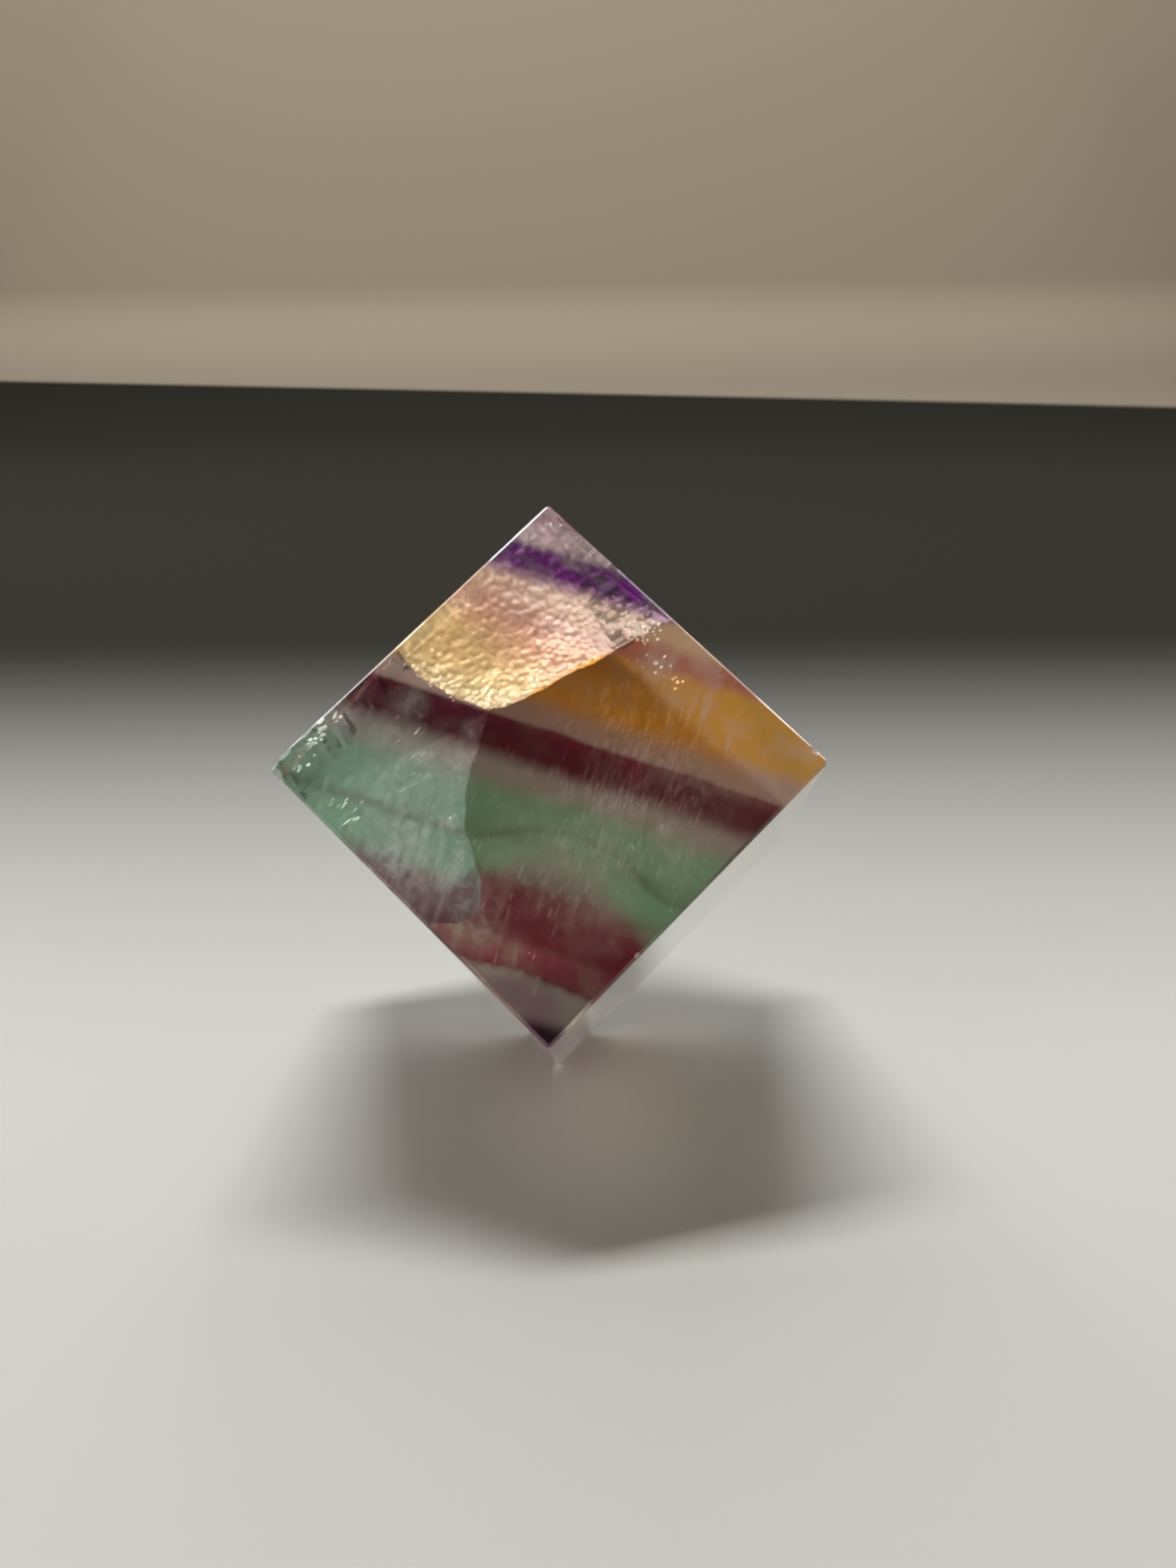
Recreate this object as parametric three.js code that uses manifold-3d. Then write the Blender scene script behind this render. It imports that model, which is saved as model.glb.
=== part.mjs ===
// A polished cube of banded fluorite that stands on one corner, which is cut off flat for its foot.
//
// Millimetres, +Z up. The origin is the middle of the foot, on the surface that the cube stands on.
// -Y is the front: the polished face that leans back over the foot looks that way, and +X is to the
// right as that face is seen. The cube is one stone, so it is one mesh.
//
// The stone is shaped square to its own edges first. They run from the foot's corner along local
// x (forwards), y (up to the right) and z (up to the left). One turn then sets it up on that corner.

import * as THREE from "three";
import { ConvexGeometry } from "three/addons/geometries/ConvexGeometry.js";
import { mergeVertices } from "three/addons/utils/BufferGeometryUtils.js";
import Module from "manifold-3d";

// ---- driving dimensions -------------------------------------------------------------------------

const EDGE = 36; // length of the cube's edges
const ARRIS = 0.3; // how far the polished bevel along each edge reaches into the two faces
const FOOT_CUT = 5; // how far the foot's cut reaches along each of the three edges at its corner
const CHIP_FACETS = 2; // subdivisions of the rounded bites that stand for conchoidal chips

// ---- the cube's corners, as shares of EDGE along the local axes -----------------------------------

const CORNERS = {
  foot: [0, 0, 0],
  frontLow: [1, 0, 0],
  right: [1, 1, 0],
  left: [1, 0, 1],
  top: [1, 1, 1],
  backRight: [0, 1, 0],
  backLeft: [0, 0, 1],
  backHigh: [0, 1, 1],
};

// The chips on the edges: each is a rounded bite `at` a share of the way between two corners.
// `radius` is the bite's own, `depth` how far it reaches in from the sharp edge, and `lean` moves it
// from the middle of the edge (0) towards one face or the other (-1 or 1).
const CHIPS = [
  // the broken left corner
  { from: "left", to: "top", at: 0.004, radius: 1.7, depth: 0.75, lean: 0.5 },
  { from: "left", to: "top", at: 0.05, radius: 2.3, depth: 0.45, lean: -0.5 },
  { from: "left", to: "top", at: 0.125, radius: 2.6, depth: 0.34, lean: -0.2 },
  { from: "left", to: "frontLow", at: 0.03, radius: 1.5, depth: 0.4, lean: 0.3 },
  // the nicked right corner
  { from: "right", to: "top", at: 0.045, radius: 0.9, depth: 0.4, lean: 0.2 },
  { from: "right", to: "backRight", at: 0.012, radius: 1.0, depth: 0.42, lean: -0.3 },
  // wear along the low edge at the right, between the foot and the back
  { from: "foot", to: "backRight", at: 0.19, radius: 0.9, depth: 0.42, lean: 0.3 },
  { from: "foot", to: "backRight", at: 0.26, radius: 0.6, depth: 0.33, lean: -0.2 },
  { from: "foot", to: "backRight", at: 0.43, radius: 0.8, depth: 0.36, lean: 0.1 },
  { from: "foot", to: "backRight", at: 0.52, radius: 0.6, depth: 0.32, lean: 0.4 },
  { from: "foot", to: "backRight", at: 0.64, radius: 1.1, depth: 0.4, lean: -0.4 },
  { from: "foot", to: "backRight", at: 0.8, radius: 0.7, depth: 0.34, lean: 0.2 },
  // beside the foot
  { from: "foot", to: "frontLow", at: 0.15, radius: 0.9, depth: 0.45, lean: 0.4 },
  { from: "foot", to: "backLeft", at: 0.16, radius: 1.2, depth: 0.5, lean: -0.3 },
  { from: "foot", to: "backLeft", at: 0.47, radius: 0.8, depth: 0.36, lean: 0.2 },
  // the other edges
  { from: "frontLow", to: "right", at: 0.31, radius: 0.6, depth: 0.3, lean: 0.5 },
  { from: "left", to: "backLeft", at: 0.38, radius: 0.9, depth: 0.38, lean: 0.3 },
  { from: "left", to: "backLeft", at: 0.83, radius: 1.1, depth: 0.42, lean: -0.2 },
  { from: "right", to: "backRight", at: 0.57, radius: 0.8, depth: 0.36, lean: 0.2 },
  { from: "top", to: "backHigh", at: 0.41, radius: 0.9, depth: 0.36, lean: -0.3 },
  { from: "top", to: "backHigh", at: 0.88, radius: 1.4, depth: 0.48, lean: 0.2 },
  { from: "backHigh", to: "backLeft", at: 0.27, radius: 1.0, depth: 0.4, lean: 0.1 },
  { from: "backHigh", to: "backLeft", at: 0.71, radius: 0.7, depth: 0.34, lean: -0.4 },
  { from: "backHigh", to: "backRight", at: 0.36, radius: 1.2, depth: 0.44, lean: 0.3 },
  { from: "backHigh", to: "backRight", at: 0.9, radius: 0.8, depth: 0.38, lean: -0.1 },
];

// ---- how the cube stands --------------------------------------------------------------------------

// The local axes as the stone stands: the diagonal from the foot's corner to the top is upright.
const SIDE_OF_DIAGONAL = Math.sqrt(2 / 3);
const RISE_OF_EDGE = Math.sqrt(1 / 3);
const FORWARDS = new THREE.Vector3(0, -SIDE_OF_DIAGONAL, RISE_OF_EDGE);
const UP_TO_THE_RIGHT = new THREE.Vector3(Math.SQRT1_2, SIDE_OF_DIAGONAL / 2, RISE_OF_EDGE);
const UP_TO_THE_LEFT = new THREE.Vector3(-Math.SQRT1_2, SIDE_OF_DIAGONAL / 2, RISE_OF_EDGE);
const STANDING = new THREE.Matrix4().makeBasis(FORWARDS, UP_TO_THE_RIGHT, UP_TO_THE_LEFT);
const FOOT_HEIGHT = FOOT_CUT * RISE_OF_EDGE; // what the cut takes off the cube's height

// ---- solids ---------------------------------------------------------------------------------------

const wasm = await Module();
wasm.setup();

// A closed three.js geometry as a manifold-3d solid.
function solidOf(geometry) {
  const bare = geometry.index ? geometry.toNonIndexed() : geometry.clone();
  bare.deleteAttribute("normal");
  bare.deleteAttribute("uv");
  const merged = mergeVertices(bare, 1e-4);
  return new wasm.Manifold(
    new wasm.Mesh({
      numProp: 3,
      vertProperties: merged.attributes.position.array,
      triVerts: new Uint32Array(merged.index.array),
    }),
  );
}

// A manifold-3d solid as a flat-shaded three.js geometry.
function geometryOf(solid) {
  const mesh = solid.getMesh();
  const indexed = new THREE.BufferGeometry()
    .setAttribute("position", new THREE.BufferAttribute(mesh.vertProperties, mesh.numProp))
    .setIndex(new THREE.BufferAttribute(mesh.triVerts, 1));
  const geometry = indexed.toNonIndexed();
  geometry.computeVertexNormals();
  return geometry;
}

const cornerPoint = (name) => new THREE.Vector3(...CORNERS[name]).multiplyScalar(EDGE);

// The cube with its edges bevelled: three points at each corner, one on each face that meets there.
function polishedCube() {
  const points = [];
  for (const name of Object.keys(CORNERS)) {
    for (const faceAxis of ["x", "y", "z"]) {
      const point = cornerPoint(name);
      for (const axis of ["x", "y", "z"]) {
        if (axis !== faceAxis) point[axis] += point[axis] > 0 ? -ARRIS : ARRIS;
      }
      points.push(point);
    }
  }
  return solidOf(new ConvexGeometry(points));
}

// The block that is cut away under the foot, in the stone's local axes.
function belowTheFoot() {
  const side = 4 * FOOT_CUT;
  const block = new THREE.BoxGeometry(side, side, side);
  block.translate(0, 0, FOOT_HEIGHT - side / 2);
  block.applyMatrix4(STANDING.clone().invert());
  return solidOf(block);
}

// One chip: a faceted ball that bites `depth` deep into its edge.
function chipBite({ from, to, at, radius, depth, lean }) {
  const start = cornerPoint(from);
  const end = cornerPoint(to);
  const along = end.clone().sub(start).normalize();
  const middle = new THREE.Vector3().setScalar(EDGE / 2);
  const place = start.clone().lerp(end, at);

  const inwards = middle.sub(place);
  inwards.addScaledVector(along, -inwards.dot(along)).normalize();
  const sideways = new THREE.Vector3().crossVectors(along, inwards);

  const ball = new THREE.IcosahedronGeometry(radius, CHIP_FACETS);
  ball.rotateX(at * Math.PI * 2);
  ball.rotateZ(radius);
  place.addScaledVector(inwards, depth - radius);
  place.addScaledVector(sideways, (lean * radius) / 2);
  ball.translate(place.x, place.y, place.z);
  return solidOf(ball);
}

function fluoriteCube() {
  let stone = polishedCube().subtract(belowTheFoot());
  for (const chip of CHIPS) stone = stone.subtract(chipBite(chip));

  const polished = new THREE.MeshStandardMaterial({
    color: 0xa8957a,
    roughness: 0.05,
    metalness: 0,
    transparent: true,
    opacity: 0.7,
  });
  const mesh = new THREE.Mesh(geometryOf(stone), polished);
  mesh.name = "fluorite_cube";
  mesh.quaternion.setFromRotationMatrix(STANDING);
  mesh.position.z = -FOOT_HEIGHT;
  return mesh;
}

const part = new THREE.Group();
part.add(fluoriteCube());

export default part;
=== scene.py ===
"""Fluorite cube: a polished, colour-banded stone that stands on one cut corner.

The file is laid out as an add-on. Its sizes and colours are scene properties, one operator makes the
stone, another makes the stage, and main() runs them in order.

Lengths are in metres, +Z up. Places in the stone are given in edge lengths from the foot's corner:
x runs forwards, y up to the right and z up to the left, so the polished front face is x = 1.
"""

import math
import random

import bmesh
import bpy
from bpy.props import FloatProperty, FloatVectorProperty, IntProperty, PointerProperty
from bpy.types import Operator, Panel, PropertyGroup
from mathutils import Matrix, Vector, noise


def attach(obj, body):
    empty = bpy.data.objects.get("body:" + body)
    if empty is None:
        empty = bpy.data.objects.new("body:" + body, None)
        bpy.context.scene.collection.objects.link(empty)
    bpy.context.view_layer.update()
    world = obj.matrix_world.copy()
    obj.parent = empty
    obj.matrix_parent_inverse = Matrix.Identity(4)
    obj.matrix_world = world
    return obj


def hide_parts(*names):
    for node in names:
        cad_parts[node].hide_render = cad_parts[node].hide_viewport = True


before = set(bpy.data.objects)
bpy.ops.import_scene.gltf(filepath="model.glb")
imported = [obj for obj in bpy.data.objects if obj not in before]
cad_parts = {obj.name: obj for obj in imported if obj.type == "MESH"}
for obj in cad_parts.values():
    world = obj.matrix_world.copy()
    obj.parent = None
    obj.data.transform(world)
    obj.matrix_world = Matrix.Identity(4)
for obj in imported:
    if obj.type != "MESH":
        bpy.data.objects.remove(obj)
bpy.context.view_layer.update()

bl_info = {
    "name": "Fluorite Cube",
    "version": (1, 0, 0),
    "blender": (4, 5, 0),
    "location": "View3D > Sidebar > Fluorite",
    "description": "A polished cube of banded fluorite that stands on one corner, on a pale floor",
    "category": "Add Mesh",
}

NODE = "fluorite_cube"  # the solid that the stone stands for
BODY = "root"
PIECE = "fluorite_crystal"
MM = 0.001

# How the stone's three edges at the foot point once it stands on that corner.
SIDE_OF_DIAGONAL = math.sqrt(2 / 3)
RISE_OF_EDGE = math.sqrt(1 / 3)
FORWARDS = Vector((0, -SIDE_OF_DIAGONAL, RISE_OF_EDGE))
UP_TO_THE_RIGHT = Vector((math.sqrt(1 / 2), SIDE_OF_DIAGONAL / 2, RISE_OF_EDGE))
UP_TO_THE_LEFT = Vector((-math.sqrt(1 / 2), SIDE_OF_DIAGONAL / 2, RISE_OF_EDGE))
ACROSS_ZONES = Vector((0.15, 0.9, 0.435))  # the way the stone grew, from one colour zone to the next
WHITE = (1, 1, 1, 1)


def srgb(red, green, blue):
    """A colour given in 0 to 255, as the linear values that Blender's colours hold."""
    shares = (red / 255, green / 255, blue / 255)
    return tuple(c / 12.92 if c <= 0.04045 else ((c + 0.055) / 1.055) ** 2.4 for c in shares)


def opaque(*levels):
    """A colour given in 0 to 255, as the opaque linear colour that a socket holds."""
    return (*srgb(*levels), 1)


def grey(value):
    """A number as the grey that a ramp's stop holds."""
    return (value, value, value, 1)


# --- What a user would change


def length(name, description, millimetres):
    """A length property whose default is given in millimetres."""
    return FloatProperty(
        name=name, description=description, default=millimetres * MM, min=0, unit="LENGTH"
    )


def colour(name, description, *levels):
    """A colour property whose default is given in 0 to 255."""
    return FloatVectorProperty(
        name=name, description=description, default=srgb(*levels), min=0, max=1, size=3, subtype="COLOR"
    )


class FluoriteSizes(PropertyGroup):
    """Sizes of the stone."""

    edge: length("Edge", "Length of the cube's edges", 36)
    arris: length("Arris", "How far the polished bevel along each edge reaches into its faces", 0.3)
    arris_round: length("Arris rounding", "How far the bevel's own borders are rounded by polishing", 0.07)
    foot_cut: length("Foot cut", "How far the foot's cut reaches along the three edges there", 5)
    chip_grit: length("Chip grit", "Depth of the rough ripples on a chip", 0.09)
    crack_gap: length("Crack gap", "Greatest opening of an inner crack", 0.07)
    seed: IntProperty(name="Seed", description="Picks the scatter of needles and flecks", default=5, min=0)


class FluoriteColours(PropertyGroup):
    """Colours of the stone's growth zones, as light through the whole stone shows them."""

    tip: colour("Tip", "Dark purple at the foot", 88, 18, 62)
    clear: colour("Clear", "Greyish clear zone above the foot", 226, 226, 204)
    rose: colour("Rose", "Cloudy maroon zone low in the stone", 114, 20, 38)
    green: colour("Green", "Wide green zone", 122, 166, 126)
    sage: colour("Sage", "Thin brownish line in the green", 96, 116, 86)
    mauve_grey: colour("Mauve grey", "Haze between green and maroon", 168, 152, 142)
    maroon: colour("Maroon", "Deep maroon band", 100, 4, 26)
    blush: colour("Blush", "Mauve-grey zone above the maroon band", 196, 156, 140)
    amber: colour("Amber", "Yellow zone", 250, 164, 34)
    russet: colour("Russet", "Red-brown line above the yellow zone", 196, 92, 66)
    straw: colour("Straw", "Pale yellow to pinkish white zone", 242, 198, 150)
    plum: colour("Plum", "Soft fringe below the violet band", 150, 104, 142)
    violet: colour("Violet", "Deep violet band", 66, 4, 90)
    lilac: colour("Lilac", "Whitish lilac zone", 214, 198, 210)
    heather: colour("Heather", "Mauve at the highest corner of the front face", 138, 84, 126)


# --- Node trees

COLUMN_WIDTH = 200  # how far apart nodes stand in their tree
ROW_HEIGHT = 240


def socket_in(tree, kind, name, default=None):
    """A named input of a node group."""
    made = tree.interface.new_socket(name=name, in_out="INPUT", socket_type=f"NodeSocket{kind}")
    if default is not None:
        made.default_value = default


def socket_out(tree, kind, name):
    """A named output of a node group."""
    tree.interface.new_socket(name=name, in_out="OUTPUT", socket_type=f"NodeSocket{kind}")


def set_input(modifier, name, value):
    """Sets a Geometry Nodes modifier's input, found by the name on its tree's interface."""
    items = modifier.node_group.interface.items_tree
    found = next(item for item in items if item.item_type == "SOCKET" and item.name == name)
    modifier[found.identifier] = value


def node(tree, kind, inputs=(), **settings):
    """A node with its settings and a link or value for each input, right of the nodes it takes from."""
    made = tree.nodes.new(kind)
    for key, value in settings.items():
        setattr(made, key, value)
    across = 0
    for key, value in dict(inputs).items():
        if isinstance(value, bpy.types.NodeSocket):
            tree.links.new(value, made.inputs[key])
            across = max(across, value.node.location.x + COLUMN_WIDTH)
        else:
            made.inputs[key].default_value = value
    above = sum(other != made and other.location.x == across for other in tree.nodes)
    made.location = (across, -ROW_HEIGHT * above)
    return made


def maths(tree, operation, result, *others, **settings):
    """The result of an operation on sockets and numbers, taken one after another from the left."""
    for other in others:
        made = node(tree, "ShaderNodeMath", {0: result, 1: other}, operation=operation, **settings)
        result = made.outputs[0]
    return result


def vectors(tree, operation, output, first, second):
    """An output of an operation on two places."""
    return node(tree, "ShaderNodeVectorMath", {0: first, 1: second}, operation=operation).outputs[output]


def scaled(tree, direction, length):
    """A direction, made as long as a socket says."""
    return node(tree, "ShaderNodeVectorMath", {0: direction, "Scale": length}, operation="SCALE").outputs[0]


def window(tree, value, low, high, first=0.0, last=1.0, kind="SMOOTHSTEP"):
    """What goes from first to last while the value goes from low to high."""
    inputs = {"Value": value, "From Min": low, "From Max": high, "To Min": first, "To Max": last}
    return node(tree, "ShaderNodeMapRange", inputs, interpolation_type=kind).outputs["Result"]


def grain(tree, place, scale, detail):
    """A noise from 0 to 1."""
    inputs = {"Vector": place, "Scale": scale, "Detail": detail}
    return node(tree, "ShaderNodeTexNoise", inputs, noise_dimensions="3D").outputs["Fac"]


def mix(tree, share, first, last):
    """The colour that is a share of the way from the first to the last."""
    inputs = {"Factor": share, "A": first, "B": last}
    return node(tree, "ShaderNodeMix", inputs, data_type="RGBA").outputs["Result"]


def ramp(tree, share, stops, interpolation="LINEAR"):
    """The outputs of a ramp between stops, each a position and a colour, at a share of its way."""
    made = node(tree, "ShaderNodeValToRGB", {"Fac": share})
    made.color_ramp.interpolation = interpolation
    elements = made.color_ramp.elements
    for place, (position, tone) in enumerate((stops[0], stops[-1])):
        elements[place].position = position
        elements[place].color = tone
    for position, tone in stops[1:-1]:
        elements.new(position).color = tone
    return made.outputs


def stored(tree, name, kind):
    """The value that each point holds under a name."""
    held = node(tree, "GeometryNodeInputNamedAttribute", {"Name": name}, data_type=kind)
    return held.outputs["Attribute"]


def realized(tree, inputs):
    """Instances on points, made real."""
    copies = node(tree, "GeometryNodeInstanceOnPoints", inputs).outputs["Instances"]
    return node(tree, "GeometryNodeRealizeInstances", {"Geometry": copies}).outputs["Geometry"]


def hand_out(tree, geometry, material, name):
    """Gives the geometry its material and hands it out of its tree under a name."""
    finish = node(tree, "GeometryNodeSetMaterial", {"Geometry": geometry, "Material": material})
    node(tree, "NodeGroupOutput", {name: finish.outputs["Geometry"]})


# --- Meshes


def stands(sizes):
    """The turn and shift that set the stone, drawn square to its edges, up on its foot."""
    turn = Matrix((FORWARDS, UP_TO_THE_RIGHT, UP_TO_THE_LEFT)).transposed().to_4x4()
    return Matrix.Translation((0, 0, -sizes.foot_cut * RISE_OF_EDGE)) @ turn


def mesh_object(name, mesh):
    """A new object at the origin that shows the mesh."""
    made = bpy.data.objects.new(name, mesh)
    bpy.context.scene.collection.objects.link(made)
    return made


def baked(source, name):
    """The source object's mesh with its modifiers applied. The source is removed."""
    depsgraph = bpy.context.evaluated_depsgraph_get()
    mesh = bpy.data.meshes.new_from_object(source.evaluated_get(depsgraph), depsgraph=depsgraph)
    mesh.name = name
    bpy.data.objects.remove(source)
    return mesh


def polished_body(sizes):
    """The cube with its bevelled edges and its flat foot."""
    bm = bmesh.new()
    bmesh.ops.create_cube(bm, size=sizes.edge)
    bmesh.ops.translate(bm, verts=bm.verts, vec=Vector((1, 1, 1)) * sizes.edge / 2)
    bmesh.ops.bevel(bm, geom=bm.edges, offset=sizes.arris, segments=1, affect="EDGES")
    bmesh.ops.transform(bm, matrix=stands(sizes), verts=bm.verts)
    cut = bmesh.ops.bisect_plane(
        bm,
        geom=[*bm.verts, *bm.edges, *bm.faces],
        plane_co=(0, 0, 0),
        plane_no=(0, 0, 1),
        clear_inner=True,
    )
    rim = [part for part in cut["geom_cut"] if isinstance(part, bmesh.types.BMEdge)]
    bmesh.ops.contextual_create(bm, geom=rim)
    bmesh.ops.bevel(bm, geom=bm.edges, offset=sizes.arris_round, segments=2, profile=0.6, affect="EDGES")
    bmesh.ops.recalc_face_normals(bm, faces=bm.faces)
    mesh = bpy.data.meshes.new("polished_body")
    bm.to_mesh(mesh)
    bm.free()
    return mesh


CORNERS = {
    "foot": (0, 0, 0),
    "frontLow": (1, 0, 0),
    "right": (1, 1, 0),
    "left": (1, 0, 1),
    "top": (1, 1, 1),
    "backRight": (0, 1, 0),
    "backLeft": (0, 0, 1),
    "backHigh": (0, 1, 1),
}

# Chips on the edges: the edge's two corners, how far along it, then in millimetres the radius of the
# bite and its depth, and how far it leans to one side.
CHIPS = (
    ("left", "top", 0.004, 1.7, 0.75, 0.5),
    ("left", "top", 0.05, 2.3, 0.45, -0.5),
    ("left", "top", 0.125, 2.6, 0.34, -0.2),
    ("left", "frontLow", 0.03, 1.5, 0.4, 0.3),
    ("right", "top", 0.045, 0.9, 0.4, 0.2),
    ("right", "backRight", 0.012, 1.0, 0.42, -0.3),
    ("foot", "backRight", 0.19, 0.9, 0.42, 0.3),
    ("foot", "backRight", 0.26, 0.6, 0.33, -0.2),
    ("foot", "backRight", 0.43, 0.8, 0.36, 0.1),
    ("foot", "backRight", 0.52, 0.6, 0.32, 0.4),
    ("foot", "backRight", 0.64, 1.1, 0.4, -0.4),
    ("foot", "backRight", 0.8, 0.7, 0.34, 0.2),
    ("foot", "frontLow", 0.15, 0.9, 0.45, 0.4),
    ("foot", "backLeft", 0.16, 1.2, 0.5, -0.3),
    ("foot", "backLeft", 0.47, 0.8, 0.36, 0.2),
    ("frontLow", "right", 0.31, 0.6, 0.3, 0.5),
    ("left", "backLeft", 0.38, 0.9, 0.38, 0.3),
    ("left", "backLeft", 0.83, 1.1, 0.42, -0.2),
    ("right", "backRight", 0.57, 0.8, 0.36, 0.2),
    ("top", "backHigh", 0.41, 0.9, 0.36, -0.3),
    ("top", "backHigh", 0.88, 1.4, 0.48, 0.2),
    ("backHigh", "backLeft", 0.27, 1.0, 0.4, 0.1),
    ("backHigh", "backLeft", 0.71, 0.7, 0.34, -0.4),
    ("backHigh", "backRight", 0.36, 0.8, 0.3, 0.3),
    ("backHigh", "backRight", 0.9, 0.6, 0.28, -0.1),
)


def chip_centres(sizes):
    """A mesh of one point for each chip, at the middle of its bite, that holds the bite's radius."""
    middle = Vector((1, 1, 1)) * sizes.edge / 2
    places = []
    radii = []
    for start, end, at, radius, depth, lean in CHIPS:
        first = Vector(CORNERS[start]) * sizes.edge
        last = Vector(CORNERS[end]) * sizes.edge
        along = (last - first).normalized()
        on_edge = first.lerp(last, at)
        inwards = middle - on_edge
        inwards = (inwards - along * inwards.dot(along)).normalized()
        sideways = along.cross(inwards)
        places.append(on_edge + inwards * (depth - radius) * MM + sideways * lean * radius * MM / 2)
        radii.append(radius * MM)
    mesh = bpy.data.meshes.new("chip_centres")
    mesh.from_pydata(places, [], [])
    mesh.attributes.new("bite", "FLOAT", "POINT").data.foreach_set("value", radii)
    mesh.transform(stands(sizes))
    return mesh


RIPPLES = {"Scale": 900, "Detail": 2}  # the noise of the rough skin in a chip


def bites_tree(material):
    """Geometry Nodes that turn each chip's centre into a ball with rippled, conchoidal skin."""
    tree = bpy.data.node_groups.new("Chip bites", "GeometryNodeTree")
    socket_in(tree, "Geometry", "Centres")
    socket_in(tree, "Float", "Grit", 0.0)
    socket_in(tree, "Int", "Fineness", 3)
    socket_out(tree, "Geometry", "Bites")
    given = node(tree, "NodeGroupInput").outputs
    ball = node(tree, "GeometryNodeMeshIcoSphere", {"Radius": 1, "Subdivisions": given["Fineness"]})
    copies = {
        "Points": given["Centres"],
        "Instance": ball.outputs["Mesh"],
        "Scale": stored(tree, "bite", "FLOAT"),
    }
    balls = realized(tree, copies)
    ripples = node(tree, "ShaderNodeTexNoise", RIPPLES, noise_dimensions="3D").outputs["Fac"]
    level = maths(tree, "SUBTRACT", ripples, 0.5)
    depth = maths(tree, "MULTIPLY", level, given["Grit"])
    outwards = node(tree, "GeometryNodeInputNormal").outputs["Normal"]
    offset = scaled(tree, outwards, depth)
    moved = node(tree, "GeometryNodeSetPosition", {"Geometry": balls, "Offset": offset})
    hand_out(tree, moved.outputs["Geometry"], material, "Bites")
    return tree


def grown(name, seeds, tree, **inputs):
    """The mesh that a Geometry Nodes tree makes of the seeds, with the tree's inputs set by name."""
    source = mesh_object(name, seeds)
    grow = source.modifiers.new(name, "NODES")
    grow.node_group = tree
    for key, value in inputs.items():
        set_input(grow, key, value)
    return baked(source, name)


def chipped_body(sizes, finishes):
    """The polished body with the chips bitten out of its edges."""
    tree = bites_tree(finishes["chipped_edge"])
    bites = mesh_object("chip_bites", grown("chip_bites", chip_centres(sizes), tree, Grit=sizes.chip_grit))
    body_mesh = polished_body(sizes)
    body_mesh.materials.append(finishes["polished_fluorite"])
    body = mesh_object("chipped_body", body_mesh)
    bite = body.modifiers.new("Chips", "BOOLEAN")
    bite.operation = "DIFFERENCE"
    bite.solver = "EXACT"
    bite.use_self = True
    bite.material_mode = "TRANSFER"
    bite.object = bites
    mesh = baked(body, "chipped_body")
    bpy.data.objects.remove(bites)
    return mesh


# --- Inner cracks

NEAR_SIDE = 0.0003  # a crack ends this far inside the stone's faces, in edge lengths
FAR_SIDE = 1 - NEAR_SIDE

# The cracks come up to the front face along three traces that meet in one point. Places on that face
# are given as y and z, in edge lengths.
TRACES_MEET = (0.494, 0.714)
TRACE_RIGHT = (TRACES_MEET, (0.58, 0.668), (0.66, 0.648), (0.74, 0.628), (0.83, 0.592), (FAR_SIDE, 0.545))
TRACE_UP = (TRACES_MEET, (0.484, 0.75), (0.458, 0.8), (0.442, 0.87), (0.436, 0.93), (0.446, FAR_SIDE))
LOWER_TRACE = ((0.42, 0.665), (0.35, 0.635), (0.286, 0.585), (0.24, 0.535), (0.208, 0.48), (0.192, 0.452))
TRACE_DOWN = (TRACES_MEET, *LOWER_TRACE)
LOW_BORDER = ((0.175, 0.41), (0.12, 0.37), (0.06, 0.385))  # the left crack's lower border in the stone
FAR_LEFT = (0.3, 0.79)  # the line that the high crack slopes away from runs on to here
TOP_CORNER = (FAR_SIDE, FAR_SIDE)
LEFT_CORNER = (0.012, 0.988)
LOW_LEFT = (NEAR_SIDE, 0.45)

# How the cracks lie below the front face, in edge lengths. A wave is its height and its closeness.
SKIN = 0.03  # how far below the front face a crack starts
TOP_SLOPE = (1.1, 0.17)  # how steeply the high crack sets out, and how deep it levels off
TOP_DENTS = (0.0045, 60)
TOP_WAVES = ((0.012, 8), (0.004, 26))
RIGHT_END = 0.8  # where along the stone's second edge the high crack starts to rise again
RIGHT_END_LIFT = 0.2  # the share of its depth that it loses by the stone's side
SIDE_SLOPE = (0.7, 0.15)
SIDE_RIBS = (0.0035, 26, 4)  # their height, and their closeness across and along
SIDE_WAVES = ((0.012, 5), (0.0025, 48))
TRACE_WAVER = (0.006, 22)  # how a crack strays sideways
CALM_SIDE = 0.05  # nearer than this to the stone's side it strays less
RIM_OPENING = 14  # how fast a crack opens up from its rim: in a 14th of its width it is fully open
# The slice of the noise that each of them takes.
TOP_SLICE = 3.7
SIDE_SLICE = 9.1
RIB_SLICE = 1.3
WAVER_SLICES = (0.53, 0.93)  # one for each way
TOP_GRID = (150, 120)  # columns and rows of each crack's mesh
SIDE_GRID = (150, 110)


def along(points, share):
    """The point a share of the way along a line of points, counted by its length."""
    steps = [(Vector(end) - Vector(start)).length for start, end in zip(points, points[1:])]
    left = share * sum(steps)
    for start, end, step in zip(points, points[1:], steps):
        if left <= step:
            break
        left -= step
    return Vector(start).lerp(Vector(end), min(left / step, 1))


def coons(near, far, first, last, u, v):
    """A point of the patch that four border lines span. near and far run with u, first and last with v."""
    ruled_one = along(near, u).lerp(along(far, u), v)
    ruled_two = along(first, v).lerp(along(last, v), u)
    corners_near = Vector(near[0]).lerp(Vector(near[-1]), u)
    corners_far = Vector(far[0]).lerp(Vector(far[-1]), u)
    return ruled_one + ruled_two - corners_near.lerp(corners_far, v)


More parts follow.
